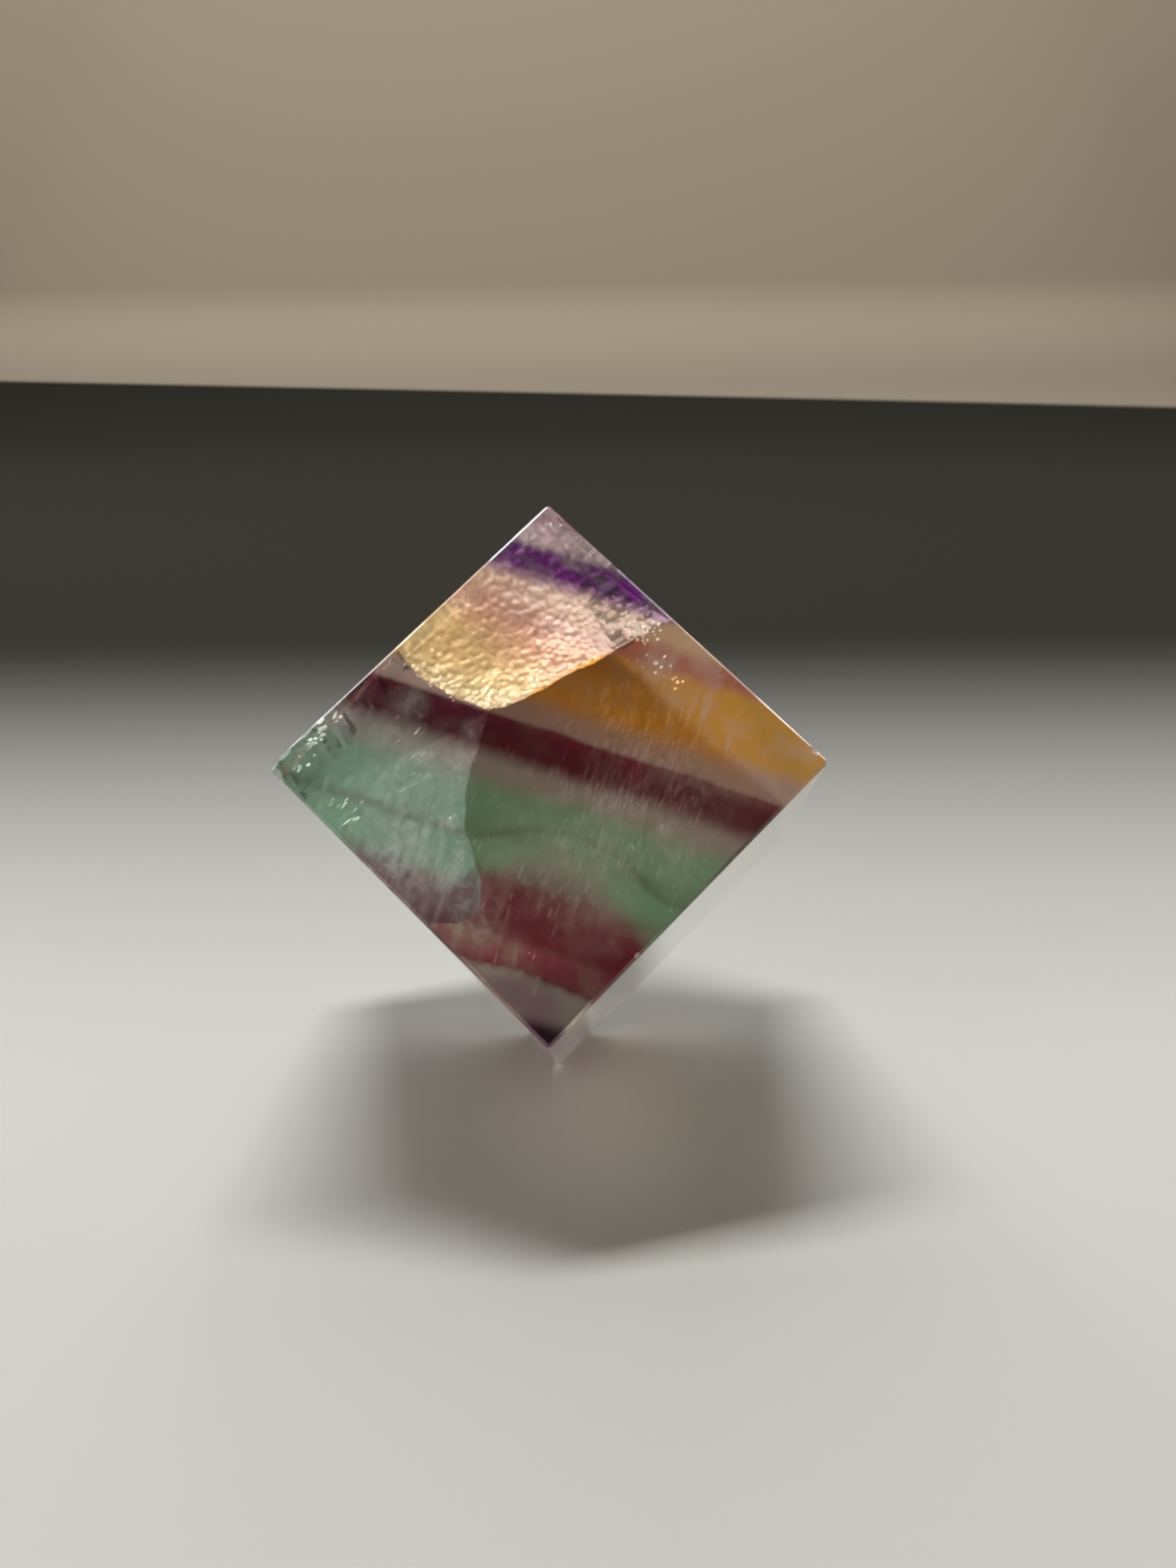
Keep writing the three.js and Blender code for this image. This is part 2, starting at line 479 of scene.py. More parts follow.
def distance_to(points, place):
    """How far a place on the front face is from a line of points."""
    nearest = math.inf
    for start, end in zip(points, points[1:]):
        first = Vector(start)
        run = Vector(end) - first
        share = min(max((place - first).dot(run) / run.length_squared, 0), 1)
        nearest = min(nearest, (place - first - run * share).length)
    return nearest


def dip(distance, slope, floor):
    """How deep a crack lies this far from its trace: steep at first, then level with the face."""
    return floor * (1 - math.exp(-distance * slope / floor))


def bowls(place):
    """Round bowls side by side, like hammered foil: 0 in the middle of each, up to about 1 between them."""
    return (noise.voronoi(place)[0][0] * 1.6) ** 2


def waves(spot, kinds):
    """Smooth waves of several kinds, one on top of the other."""
    return sum(height * noise.noise(spot * closeness) for height, closeness in kinds)


def top_depth(place, from_trace):
    """How deep the high crack lies at a place: dents and waves on a slope that eases off at its right."""
    spot = Vector((place.x, place.y, TOP_SLICE))
    ease = 1 - RIGHT_END_LIFT * max(0, (place.x - RIGHT_END) / (1 - RIGHT_END)) ** 2
    height, closeness = TOP_DENTS
    return dip(from_trace, *TOP_SLOPE) * ease + height * bowls(spot * closeness) + waves(spot, TOP_WAVES)


def side_depth(place, from_trace):
    """How deep the left crack lies at a place: ribs that run up the stone and waves on a mild slope."""
    height, across, along_them = SIDE_RIBS
    ribs = noise.noise(Vector(((place.x - place.y) * across, (place.x + place.y) * along_them, RIB_SLICE)))
    spot = Vector((place.x, place.y, SIDE_SLICE))
    return dip(from_trace, *SIDE_SLOPE) + height * ribs + waves(spot, SIDE_WAVES)


def strayed(spot):
    """A place on the front face as y and z, moved as far as a crack strays sideways there."""
    height, closeness = TRACE_WAVER
    from_side = min(spot.x, 1 - spot.x, spot.y, 1 - spot.y)
    height *= min(1, from_side / CALM_SIDE)
    pieces = (Vector((*spot, piece)) * closeness for piece in WAVER_SLICES)
    return [at + height * noise.noise(piece) for at, piece in zip(spot, pieces)]


def crack(sizes, borders, traces, depth_at, grid, material):
    """A closed, lens-thin void: two sheets that share their rim. Its faces look into the void."""
    bm = bmesh.new()
    columns, rows = grid
    sheets = ([], [])
    for column in range(columns + 1):
        for row in range(rows + 1):
            u = column / columns
            v = row / rows
            spot = coons(*borders, u, v)
            depth = SKIN + depth_at(spot, min(distance_to(trace, spot) for trace in traces))
            place = Vector((1 - depth, *strayed(spot)))
            rim_share = min(u, 1 - u, v, 1 - v)
            gap = sizes.crack_gap / sizes.edge * min(1, RIM_OPENING * rim_share)
            half_gap = Vector((gap / 2, 0, 0))
            upper = bm.verts.new((place + half_gap) * sizes.edge)
            lower = upper if rim_share == 0 else bm.verts.new((place - half_gap) * sizes.edge)
            sheets[0].append(upper)
            sheets[1].append(lower)
    for sheet, turned in zip(sheets, (True, False)):
        for column in range(columns):
            for row in range(rows):
                low = column * (rows + 1) + row
                ring = [sheet[low], sheet[low + rows + 1], sheet[low + rows + 2], sheet[low + 1]]
                bm.faces.new(reversed(ring) if turned else ring)
    bmesh.ops.transform(bm, matrix=stands(sizes), verts=bm.verts)
    for face in bm.faces:
        face.smooth = True
    mesh = bpy.data.meshes.new("crack")
    bm.to_mesh(mesh)
    bm.free()
    mesh.materials.append(material)
    return mesh


def top_crack(sizes, material):
    """The crack behind the bright upper part of the front face."""
    far = (TRACE_UP[-1], TOP_CORNER)
    last = (TRACE_RIGHT[-1], TOP_CORNER)
    borders = (TRACE_RIGHT, far, TRACE_UP, last)
    return crack(sizes, borders, ((FAR_LEFT, *TRACE_RIGHT),), top_depth, TOP_GRID, material)


def side_crack(sizes, material):
    """The crack behind the milky left part of the front face."""
    near = TRACE_DOWN[::-1] + TRACE_UP[1:]
    far = (LOW_LEFT, (NEAR_SIDE, 0.9), LEFT_CORNER)
    first = (TRACE_DOWN[-1], *LOW_BORDER, LOW_LEFT)
    last = (TRACE_UP[-1], (0.12, FAR_SIDE), LEFT_CORNER)
    borders = (near, far, first, last)
    return crack(sizes, borders, (TRACE_DOWN, TRACE_UP), side_depth, SIDE_GRID, material)


# --- Growth needles and flecks: small hollows in the stone, by the hundred

# Where the needles are thickest: the middle of each swarm, its reach, both in edge lengths, how many
# needles it has and how long they are, in millimetres. They run across the zones.
SWARMS = (
    ((0.75, 0.62, 0.32), (0.22, 0.17, 0.16), 260, 2.2),
    ((0.55, 0.78, 0.42), (0.3, 0.18, 0.2), 260, 2.0),
    ((0.7, 0.42, 0.3), (0.25, 0.2, 0.12), 200, 1.8),
    ((0.5, 0.5, 0.5), (0.5, 0.5, 0.5), 300, 1.6),
)
NEEDLE_LENGTHS = (0.4, 1.3)  # the least and the most of a swarm's own length that a needle has
NEEDLE_GIRTH = 0.05  # mm across
NEEDLE_GIRTHS = (0.5, 1.8)  # the least and the most of that
SIDE_ROOM = 0.03  # how near a needle's middle may come to a face, in edge lengths
END_ROOM = 0.55  # how near it may come, in its own lengths

# Flat flecks that glint: a place on the front face as y and z, the depth below it, how far the flecks
# scatter, all in edge lengths, then how many there are, their length and their width in millimetres.
FLECKS = (
    ((0.238, 0.571), 0.014, 0.004, 9, 0.5, 0.45),
    ((0.045, 0.746), 0.018, 0.008, 8, 1.3, 0.35),
    ((0.07, 0.79), 0.018, 0.015, 8, 0.8, 0.25),
    ((0.165, 0.976), 0.018, 0.01, 9, 0.6, 0.7),
    ((0.12, 0.968), 0.018, 0.012, 9, 0.6, 0.6),
    ((0.21, 0.978), 0.018, 0.008, 6, 0.5, 0.5),
    ((0.055, 0.94), 0.018, 0.012, 6, 0.6, 0.4),
    ((0.278, 0.729), 0.018, 0.02, 8, 0.9, 0.16),
    ((0.235, 0.706), 0.018, 0.02, 8, 0.8, 0.16),
    ((0.33, 0.8), 0.018, 0.02, 8, 0.9, 0.14),
    ((0.2, 0.6), 0.014, 0.02, 12, 0.5, 0.15),
    ((0.21, 0.53), 0.014, 0.015, 8, 0.4, 0.15),
    ((0.19, 0.49), 0.014, 0.01, 8, 0.4, 0.15),
    ((0.35, 0.67), 0.014, 0.02, 10, 0.4, 0.15),
    ((0.48, 0.765), 0.014, 0.008, 8, 0.35, 0.3),
    ((0.462, 0.81), 0.014, 0.01, 10, 0.35, 0.3),
    ((0.45, 0.86), 0.014, 0.01, 12, 0.35, 0.3),
    ((0.446, 0.92), 0.014, 0.012, 12, 0.35, 0.3),
    ((0.9, 0.585), 0.014, 0.016, 18, 0.5, 0.35),
    ((0.95, 0.575), 0.014, 0.014, 18, 0.5, 0.35),
    ((0.93, 0.62), 0.014, 0.025, 12, 0.35, 0.3),
    ((0.88, 0.69), 0.014, 0.03, 10, 0.3, 0.3),
    ((0.885, 0.485), 0.04, 0.02, 7, 0.7, 0.4),
    ((0.876, 0.42), 0.05, 0.015, 5, 0.6, 0.4),
    ((0.855, 0.53), 0.04, 0.012, 4, 0.5, 0.3),
    ((0.132, 0.188), 0.03, 0.006, 5, 0.4, 0.3),
    ((0.454, 0.176), 0.05, 0.006, 3, 0.4, 0.2),
    ((0.5, 0.209), 0.05, 0.006, 3, 0.4, 0.2),
    ((0.62, 0.3), 0.06, 0.08, 24, 0.6, 0.1),
    ((0.966, 0.955), 0.014, 0.012, 8, 0.35, 0.3),
)
FLECK_FACING = Vector((0.71, 0.26, 0.655))  # towards which most flecks are turned
RIGHT_FACING = Vector((0.824, 0.495, 0.276))  # towards which those near the stone's right side are turned
RIGHT_SIDE = 0.8  # where along the stone's second edge that side begins
FLECK_TILT = 0.05  # how much the way a fleck is turned varies
FLECK_GROWTHS = (0.5, 1.1)  # the least and the most of its row's size that a fleck has
FLECK_THICKNESS = 0.03  # mm


def void_seeds(sizes, name, seeds):
    """A mesh of one point for each small void, from its place, the axes it is turned to and its spans."""
    turn = stands(sizes).to_3x3()
    mesh = bpy.data.meshes.new(name)
    mesh.from_pydata([place * sizes.edge for place, _, _, _ in seeds], [], [])
    angles = []
    spans = []
    for _, long_way, flat_way, size in seeds:
        third = flat_way.normalized()
        second = (long_way - third * long_way.dot(third)).normalized()
        axes = Matrix((second.cross(third), second, third)).transposed()
        angles.extend((turn @ axes).to_euler())
        spans.extend(value * MM for value in size)
    mesh.attributes.new("turned", "FLOAT_VECTOR", "POINT").data.foreach_set("vector", angles)
    mesh.attributes.new("spans", "FLOAT_VECTOR", "POINT").data.foreach_set("vector", spans)
    mesh.transform(stands(sizes))
    return mesh


def inside(outline, place):
    """Whether a place on the front face lies inside an outline."""
    found = False
    for (y, z), (next_y, next_z) in zip(outline, (*outline[1:], outline[0])):
        passes = (z > place.z) != (next_z > place.z)
        if passes and place.y < y + (place.z - z) / (next_z - z) * (next_y - y):
            found = not found
    return found


def needle_seeds(sizes):
    """A point for each needle."""
    draw = random.Random(sizes.seed)
    along_growth = ACROSS_ZONES.normalized()
    high = (*TRACE_RIGHT, TOP_CORNER, *reversed(TRACE_UP))
    left = (*TRACE_DOWN, LOW_LEFT, LEFT_CORNER, *reversed(TRACE_UP))
    seeds = []
    for middle, reach, count, long in SWARMS:
        for _ in range(count):
            spot = Vector(draw.gauss(m, r / 2) for m, r in zip(middle, reach))
            long_here = long * draw.uniform(*NEEDLE_LENGTHS)
            girth = NEEDLE_GIRTH * draw.uniform(*NEEDLE_GIRTHS)
            room = max(SIDE_ROOM, END_ROOM * long_here * MM / sizes.edge)
            hidden = inside(high, spot) or inside(left, spot)
            above_foot = sum(spot) > 3 * sizes.foot_cut / sizes.edge
            if above_foot and not hidden and min(spot) > room and max(spot) < 1 - room:
                seeds.append((spot, along_growth, Vector((1, 0, 0)), (girth, long_here, girth)))
    return void_seeds(sizes, "needle_seeds", seeds)


def fleck_seeds(sizes):
    """A point for each fleck."""
    draw = random.Random(sizes.seed + 1)
    seeds = []
    for (y, z), depth, scatter, count, long, wide in FLECKS:
        for _ in range(count):
            spot = Vector((1 - depth, y + draw.gauss(0, scatter), z + draw.gauss(0, scatter)))
            facing = RIGHT_FACING if y > RIGHT_SIDE else FLECK_FACING
            facing = facing + Vector(draw.gauss(0, FLECK_TILT) for _ in range(3))
            size = draw.uniform(*FLECK_GROWTHS)
            seeds.append((spot, ACROSS_ZONES, facing, (wide * size, long * size, FLECK_THICKNESS)))
    return void_seeds(sizes, "fleck_seeds", seeds)


def voids_tree():
    """Geometry Nodes that put a small hollow on each seed, turned and stretched as the seed says."""
    tree = bpy.data.node_groups.new("Small voids", "GeometryNodeTree")
    socket_in(tree, "Geometry", "Seeds")
    socket_in(tree, "Material", "Material")
    socket_in(tree, "Int", "Fineness", 1)
    socket_out(tree, "Geometry", "Voids")
    given = node(tree, "NodeGroupInput").outputs
    bead = node(tree, "GeometryNodeMeshIcoSphere", {"Radius": 0.5, "Subdivisions": given["Fineness"]})
    hollow = node(tree, "GeometryNodeFlipFaces", {"Mesh": bead.outputs["Mesh"]})
    turned = stored(tree, "turned", "FLOAT_VECTOR")
    copies = {
        "Points": given["Seeds"],
        "Instance": hollow.outputs["Mesh"],
        "Rotation": node(tree, "FunctionNodeEulerToRotation", {0: turned}).outputs[0],
        "Scale": stored(tree, "spans", "FLOAT_VECTOR"),
    }
    hand_out(tree, realized(tree, copies), given["Material"], "Voids")
    return tree


# --- Growth zones

# Each growth zone's colour, where it begins and how soft that beginning is, counted in edge lengths
# along the direction across the zones, from ZONES_START on.
ZONES_START = 0.15
ZONE_SPAN = 1.5  # how far they reach in all
ZONES = (
    ("tip", 0.0, 0.01),
    ("clear", 0.055, 0.03),
    ("rose", 0.138, 0.014),
    ("green", 0.315, 0.05),
    ("sage", 0.42, 0.02),
    ("green", 0.44, 0.03),
    ("mauve_grey", 0.57, 0.06),
    ("maroon", 0.648, 0.04),
    ("blush", 0.75, 0.012),
    ("amber", 0.817, 0.04),
    ("russet", 0.99, 0.03),
    ("straw", 1.055, 0.03),
    ("plum", 1.12, 0.03),
    ("violet", 1.135, 0.02),
    ("lilac", 1.217, 0.02),
    ("heather", 1.275, 0.03),
)

# How each stretch of the stone grew: where it starts, then how far its border drips along the growth
# direction, how clearly its streaks show, how cloudy it is and how much paler it looks over a crack, each
# from 0 to 1.
HABITS = (
    (0.0, 0.3, 0.1, 0.2, 0.3),
    (0.06, 0.3, 0.8, 0.6, 0.6),
    (0.14, 0.3, 0.5, 0.15, 0.4),
    (0.2, 0.4, 0.6, 0.25, 0.4),
    (0.27, 0.8, 0.8, 0.8, 0.6),
    (0.33, 1.0, 0.6, 0.6, 0.85),
    (0.38, 0.3, 0.4, 0.2, 0.85),
    (0.5, 0.6, 0.9, 0.5, 0.85),
    (0.6, 1.0, 1.0, 0.7, 0.7),
    (0.67, 0.9, 0.3, 0.1, 0.25),
    (0.73, 0.1, 0.2, 0.1, 0.4),
    (0.78, 0.3, 0.3, 0.1, 0.7),
    (0.84, 0.8, 0.9, 0.3, 0.7),
    (0.95, 0.5, 0.8, 0.4, 0.65),
    (1.03, 0.7, 0.5, 0.6, 0.7),
    (1.1, 0.8, 0.5, 0.5, 0.6),
    (1.13, 0.8, 0.4, 0.2, 0.0),
    (1.2, 0.7, 0.4, 0.3, 0.0),
    (1.24, 0.7, 0.6, 0.8, 0.2),
)

# Where the low maroon zone swells up into the green: its middle, its reach, how far it rises and its haze.
SWELL_AT = (1.0, 0.3, 0.26)
SWELL_REACH = 0.3
SWELL_RISE = 0.14
SWELL_HAZE = 0.5
SWELL_HAZE_STARTS = (0.34, 0.46)  # the levels across the zones between which that haze sets in

# Milky veils near the front face: the middle of each on that face as y and z, how far it reaches, both in
# edge lengths, and how much of the zones' colour it hides there.
VEILS = (
    ((0.12, 0.37), 0.14, 0.6),
    ((0.28, 0.33), 0.2, 0.4),
    ((0.0, 0.49), 0.14, 0.4),
    ((0.12, 0.47), 0.09, 0.7),
    ((0.08, 0.6), 0.2, 0.6),
    ((0.2, 0.7), 0.22, 0.35),
    ((0.36, 0.86), 0.07, 0.5),
    ((0.12, 0.97), 0.12, 0.6),
    ((0.215, 0.57), 0.045, 0.55),
    ((0.18, 0.49), 0.045, 0.55),
    ((0.27, 0.62), 0.045, 0.5),
    ((0.34, 0.67), 0.045, 0.45),
    ((0.42, 0.7), 0.045, 0.35),
    ((0.885, 0.48), 0.08, 0.6),
    ((0.85, 0.4), 0.08, 0.3),
    ((0.94, 0.58), 0.06, 0.3),
    ((0.04, 0.13), 0.07, 0.4),
    ((0.34, 0.14), 0.12, 0.2),
    ((0.52, 0.3), 0.14, 0.3),
    ((0.3, 0.2), 0.17, 0.35),
    ((0.55, 0.1), 0.15, 0.5),
    ((0.7, 0.15), 0.22, 0.22),
)
VEIL_FLOOR = 0.35  # how much of a veil stays between its specks and fibres

# The noises that the zones are drawn with: how close together the marks of each are, and its detail.
WAVES = (3.0, 3)
STREAKS = (46, 4)
PATCHES = (4.5, 2)
CLOUDS = (11, 5)
SPECKS = (34, 3)
STREAK_STRETCH = 0.95  # how far the streaks are drawn out along the growth: 0 is not at all, 1 is endless
# The levels of a noise between which its marks set in.
STREAKS_SHOW = (0.48, 0.78)
PATCHES_SHOW = (0.4, 0.62)
CLOUDS_SHOW = (0.45, 0.72)
VEILS_SHOW = (0.45, 0.65)

# The zones' inputs: the kind, the name and the value of each.
ZONE_INPUTS = (
    ("Vector", "Place", None),
    ("Float", "Wobble", 0.03),
    ("Float", "Drip", 0.05),
    ("Float", "Streak Haze", 0.7),
    ("Float", "Cloud Haze", 0.5),
    ("Float", "Paleness", 0.0),
    ("Float", "Over Crack", 0.0),
    ("Color", "Pale", WHITE),
    ("Color", "Haze", (0.78, 0.75, 0.7, 1)),
)


def streak_noise(tree, place, level):
    """A noise whose marks are streaks that grow across the zones, drawn out along that direction."""
    back = scaled(tree, ACROSS_ZONES.normalized(), maths(tree, "MULTIPLY", level, -STREAK_STRETCH))
    return grain(tree, vectors(tree, "ADD", "Vector", place, back), *STREAKS)


def zone_share(tree, level):
    """A level across the zones as a share of all of them."""
    return window(tree, level, ZONES_START, ZONES_START + ZONE_SPAN, kind="LINEAR")


def zone_stops(colours):
    """Two stops for each zone: where its colour is first full and where it starts to give way."""
    starts = [start for _, start, _ in ZONES[1:]] + [ZONE_SPAN]
    softness = [soft for _, _, soft in ZONES[1:]] + [0.0]
    stops = []
    for (name, start, soft), end, end_soft in zip(ZONES, starts, softness):
        shade = (*getattr(colours, name), 1)
        stops.append(((start + soft / 2) / ZONE_SPAN, shade))
        stops.append(((end - end_soft / 2) / ZONE_SPAN, shade))
    return stops


def veil_haze(tree, place, streaks):
    """How much the milky veils hide, which is less between their specks and fibres."""
    specks = window(tree, grain(tree, place, *SPECKS), *VEILS_SHOW)
    fibres = window(tree, streaks, *VEILS_SHOW)
    marks = maths(tree, "MAXIMUM", specks, fibres)
    cover = maths(tree, "MULTIPLY", marks, 1 - VEIL_FLOOR)
    cover = maths(tree, "ADD", cover, VEIL_FLOOR)
    thickest = 0.0
    for middle, reach, strength in VEILS:
        away = vectors(tree, "DISTANCE", "Value", place, (1, *middle))
        veil = window(tree, away, 0, reach, strength, 0)
        thickest = maths(tree, "MAXIMUM", veil, thickest)
    return maths(tree, "MULTIPLY", thickest, cover)


def zoning_group(colours):
    """Shader group: the colour of the growth zone at a place, with its wobble, streaks and clouds."""
    tree = bpy.data.node_groups.new("Growth zones", "ShaderNodeTree")
    for kind, name, value in ZONE_INPUTS:
        socket_in(tree, kind, name, value)
    socket_out(tree, "Color", "Colour")
    given = node(tree, "NodeGroupInput").outputs
    place = given["Place"]
    level = vectors(tree, "DOT_PRODUCT", "Value", place, ACROSS_ZONES)
    streaks = streak_noise(tree, place, level)
    patches = grain(tree, place, *PATCHES)
    clouds = grain(tree, place, *CLOUDS)

    wobble = maths(tree, "SUBTRACT", grain(tree, place, *WAVES), 0.5)
    wobble = maths(tree, "MULTIPLY", wobble, given["Wobble"])
    wavy = maths(tree, "ADD", level, wobble)
    apart = vectors(tree, "DISTANCE", "Value", place, SWELL_AT)
    swell = window(tree, apart, 0, SWELL_REACH, SWELL_RISE, 0, "SMOOTHERSTEP")
    wavy = maths(tree, "SUBTRACT", wavy, swell)
    habits = [(start / ZONE_SPAN, shares) for start, *shares in HABITS]
    habit = ramp(tree, zone_share(tree, wavy), habits)
    traits = node(tree, "ShaderNodeSeparateColor", {"Color": habit["Color"]}).outputs

    fall = maths(tree, "SUBTRACT", streaks, 0.5)
    fall = maths(tree, "MULTIPLY", fall, given["Drip"], traits["Red"])
    share = zone_share(tree, maths(tree, "ADD", wavy, fall))
    zone = ramp(tree, share, zone_stops(colours))["Color"]

    streak_mask = window(tree, streaks, *STREAKS_SHOW)
    patch_mask = window(tree, patches, *PATCHES_SHOW)
    cloud_mask = window(tree, clouds, *CLOUDS_SHOW)
    swell_mask = window(tree, wavy, *SWELL_HAZE_STARTS)
    streaked = (streak_mask, patch_mask, given["Streak Haze"], traits["Green"])
    hazes = (
        maths(tree, "MULTIPLY", *streaked),
        maths(tree, "MULTIPLY", cloud_mask, given["Cloud Haze"], traits["Blue"]),
        maths(tree, "MULTIPLY", swell, SWELL_HAZE / SWELL_RISE, swell_mask),
        veil_haze(tree, place, streaks),
    )
    haze = maths(tree, "MAXIMUM", *hazes)

    hazed = mix(tree, haze, zone, given["Haze"])
    over = maths(tree, "MULTIPLY", given["Over Crack"], habit["Alpha"])
    paleness = maths(tree, "MAXIMUM", over, given["Paleness"])
    pale = mix(tree, paleness, hazed, given["Pale"])
    node(tree, "NodeGroupOutput", {"Colour": pale})
    return tree


# --- Materials

FLUORITE_IOR = 1.434
ABSORPTION = {"Color": (0.75, 0.68, 0.63, 1), "Density": 36}

# How much of a surface's colour light loses at the first surface it meets, at the second, and from the
# third on, as haze makes faces seen from within a real stone tint less. How much a lamp's light loses on
# its way to other things is painted light: it makes the shadow that the stone casts lighter and less
# tinted.
INNER_FADING = (0.0, 0.0, 0.88)
OUTER_FADING = (0.0, 0.5, 0.88)
FADING_SPAN = 2.5
LAMP_PALENESS = 0.2

# The stone's finishes: how pale its zones are, its roughness, how much light it lets through, its fading.
FINISHES = {
    "polished_fluorite": (0.0, 0.2, 0.93, OUTER_FADING),
    "top_crack": (0.9, 0.11, 0.3, INNER_FADING),
    "side_crack": (0.25, 0.5, 0.4, INNER_FADING),
    "chipped_edge": (0.4, 0.3, 0.95, INNER_FADING),
    "growth_needle": (0.9, 0.3, 0.4, INNER_FADING),
    "fleck": (1.0, 0.3, 0.35, INNER_FADING),
}
CLEAR_ROUGHNESS = 0.03  # of the coat and of the two faces that meet above the front face
UPPER_FACES = (0.985, 0.995)  # how far along an edge those faces begin, from hazy to clear
FRONT_SKIN = 0.995  # how far forwards the front face begins
MASK_SOFTNESS = 0.006
TOP_GLOW = (255, 240, 205)  # what the zones fade to over the high crack
SIDE_FILM = (226, 246, 250)  # and on the left crack
TOP_END = (0.74, 0.86)  # where along the stone's second edge the high crack's walls get rougher
TOP_END_ROUGHNESS = 0.6

# The film on the high crack's walls, from its left end to its right end: a place and its colour.
TOP_FILM = (
    (0.45, (255, 250, 196)),
    (0.6, (255, 246, 196)),
    (0.72, (254, 212, 206)),
    (0.85, (255, 236, 240)),
)


def place_in_stone(tree, sizes):
    """Nodes that turn the object's coordinates into places in the stone, in edge lengths."""
    turn = Matrix((FORWARDS, UP_TO_THE_RIGHT, UP_TO_THE_LEFT))
    cut_height = sizes.foot_cut * RISE_OF_EDGE
    inputs = {
        "Vector": node(tree, "ShaderNodeTexCoord").outputs["Object"],
        "Location": turn @ Vector((0, 0, cut_height / sizes.edge)),
        "Rotation": turn.to_euler("XYZ"),
        "Scale": (1 / sizes.edge,) * 3,
    }
    return node(tree, "ShaderNodeMapping", inputs, vector_type="POINT").outputs["Vector"]


def faded(tree, tone, fading):
    """A surface's colour, paler for rays that have met other surfaces, and paler for a lamp's light, which
    is painted light that lightens the stone's shadow.
    """
    path = node(tree, "ShaderNodeLightPath").outputs
    met = maths(tree, "DIVIDE", path["Ray Depth"], FADING_SPAN)
    losses = [(count / FADING_SPAN, grey(loss)) for count, loss in enumerate(fading)]
    deep = ramp(tree, met, losses, "CONSTANT")["Color"]
    # Painted light: rays that have bounced off a diffuse surface pass the stone paler, which lightens the
    # stone's shadow.
    lamp = maths(tree, "MULTIPLY", path["Diffuse Depth"], LAMP_PALENESS, use_clamp=True)
    return mix(tree, maths(tree, "MAXIMUM", lamp, deep), tone, WHITE)


def stone_material(name, sizes, zoning):
    """A see-through stone finish that the growth zones colour."""
    paleness, roughness, transmission, fading = FINISHES[name]
    made = bpy.data.materials.new(name)
    made.use_nodes = True
    tree = made.node_tree
    tree.nodes.clear()
    inputs = {"Place": place_in_stone(tree, sizes), "Paleness": paleness}
    zones = node(tree, "ShaderNodeGroup", inputs, node_tree=zoning)
    inputs = {
        "Base Color": faded(tree, zones.outputs["Colour"], fading),
        "Roughness": roughness,
        "IOR": FLUORITE_IOR,
        "Transmission Weight": transmission,
    }
    shader = node(tree, "ShaderNodeBsdfPrincipled", inputs)
    node(tree, "ShaderNodeOutputMaterial", {"Surface": shader.outputs["BSDF"]})
    return made


def parts_of(material):
    """A stone finish's tree, the axes of its places, and the inputs of its zones and of its shader."""
    tree = material.node_tree
    place = tree.nodes["Mapping"].outputs["Vector"]
    axes = node(tree, "ShaderNodeSeparateXYZ", {"Vector": place}).outputs
    return tree, axes, tree.nodes["Group"].inputs, tree.nodes["Principled BSDF"].inputs


def vary_roughness(tree, shader, value, low, high, last):
    """Turns a finish's roughness into another one while the value goes from low to high."""
    rough = window(tree, value, low, high, shader["Roughness"].default_value, last, "LINEAR")
    tree.links.new(rough, shader["Roughness"])


def over_crack(tree, axes):
    """A mask of the front face where the high crack lies close below it."""
    lower_line = [(0, TRACES_MEET[1]), *TRACE_RIGHT]
    left_line = [(0, TRACES_MEET[0]), *((z, y) for y, z in TRACE_UP)]
    masks = []
    for run, rise, line in (("Y", "Z", lower_line), ("Z", "Y", left_line)):
        trace = ramp(tree, axes[run], [(at, grey(value)) for at, value in line])["Color"]
        beyond = maths(tree, "SUBTRACT", axes[rise], trace)
        masks.append(window(tree, beyond, -MASK_SOFTNESS, MASK_SOFTNESS))
    front = maths(tree, "GREATER_THAN", axes["X"], FRONT_SKIN)
    return maths(tree, "MULTIPLY", *masks, front)


def polish(material):
    """The stone's own faces: hazy but for the upper two, coated, and paler over the high crack."""
    tree, axes, zones, shader = parts_of(material)
    highest = maths(tree, "MAXIMUM", axes["Y"], axes["Z"])
    vary_roughness(tree, shader, highest, *UPPER_FACES, CLEAR_ROUGHNESS)
    tree.links.new(over_crack(tree, axes), zones["Over Crack"])
    zones["Pale"].default_value = opaque(*TOP_GLOW)
    shader["Coat Weight"].default_value = 1
    shader["Coat Roughness"].default_value = CLEAR_ROUGHNESS
    shader["Coat IOR"].default_value = FLUORITE_IOR
    absorb = node(tree, "ShaderNodeVolumeAbsorption", ABSORPTION)
    tree.links.new(absorb.outputs["Volume"], tree.nodes["Material Output"].inputs["Volume"])


def line_top_crack(material):
    """The film on the high crack's walls: tinted from end to end, and rough where it only glimmers."""
    tree, axes, zones, shader = parts_of(material)
    tint = ramp(tree, axes["Y"], [(at, opaque(*levels)) for at, levels in TOP_FILM])
    tree.links.new(tint["Color"], zones["Pale"])
    vary_roughness(tree, shader, axes["Y"], *TOP_END, TOP_END_ROUGHNESS)


def line_side_crack(material):
    """The milky film on the left crack's walls."""
    zones = material.node_tree.nodes["Group"].inputs
    zones["Over Crack"].default_value = 1
    zones["Pale"].default_value = opaque(*SIDE_FILM)


def make_materials(sizes, colours):
    """The stone's finishes by name."""
    zoning = zoning_group(colours)
    finishes = {name: stone_material(name, sizes, zoning) for name in FINISHES}
    polish(finishes["polished_fluorite"])
    line_top_crack(finishes["top_crack"])
    line_side_crack(finishes["side_crack"])
    return finishes


# --- Operators


